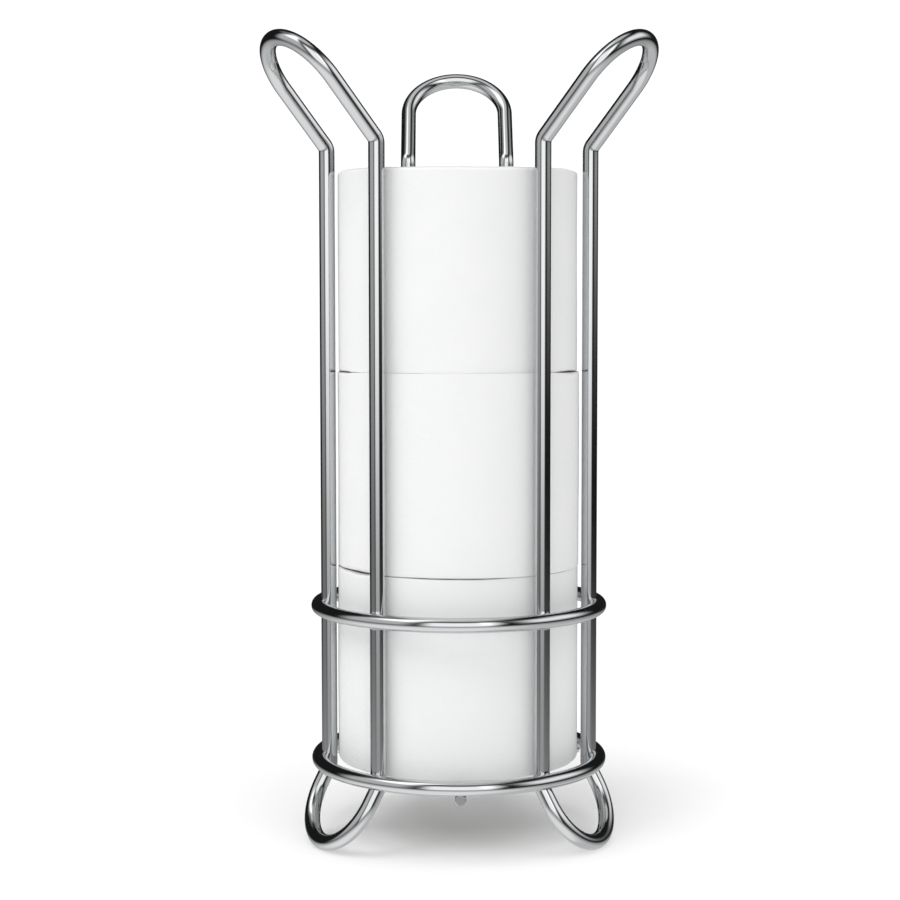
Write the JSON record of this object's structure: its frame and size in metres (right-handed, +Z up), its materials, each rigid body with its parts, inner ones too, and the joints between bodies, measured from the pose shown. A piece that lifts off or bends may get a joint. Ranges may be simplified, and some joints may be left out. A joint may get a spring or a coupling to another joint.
{
  "type": "toilet roll storage holder",
  "caption": "Free-standing chrome wire stand of leaning loops and rings that keeps spare toilet rolls stacked upright, with the rolls in it.",
  "frame": {"origin": "on the floor, on the upright axis of the rings and rolls", "axes": "+Z up along the axis of the rolls; the front, midway between two handles, faces -Y; the third loop stands at +Y"},
  "size_m": [0.1966, 0.1837, 0.4057],
  "materials": {
    "chromed_wire": "bright chrome plate on round steel wire",
    "tissue_paper": "soft white embossed tissue, matt",
    "core_board": "spirally wound grey-brown board, matt"
  },
  "bodies": {
    "frame": {"base_ring": "chromed_wire", "upper_ring": "chromed_wire", "upright_loop_left": "chromed_wire", "upright_loop_right": "chromed_wire", "upright_loop_rear": "chromed_wire", "base_spoke_front": "chromed_wire", "base_spoke_left": "chromed_wire", "base_spoke_right": "chromed_wire"},
    "roll_bottom": {"bottom_roll_paper": "tissue_paper", "bottom_roll_core": "core_board"},
    "roll_middle": {"middle_roll_paper": "tissue_paper", "middle_roll_core": "core_board"},
    "roll_top": {"top_roll_paper": "tissue_paper", "top_roll_core": "core_board"}
  },
  "joints": [
    {"name": "bottom_roll_lift", "type": "slide", "parent": "frame", "child": "roll_bottom", "axis": [0, 0, 1], "range_m": [0, 0.375]},
    {"name": "middle_roll_lift", "type": "slide", "parent": "roll_bottom", "child": "roll_middle", "axis": [0, 0, 1], "range_m": [0, 0.275]},
    {"name": "top_roll_lift", "type": "slide", "parent": "roll_middle", "child": "roll_top", "axis": [0, 0, 1], "range_m": [0, 0.175]}
  ]
}
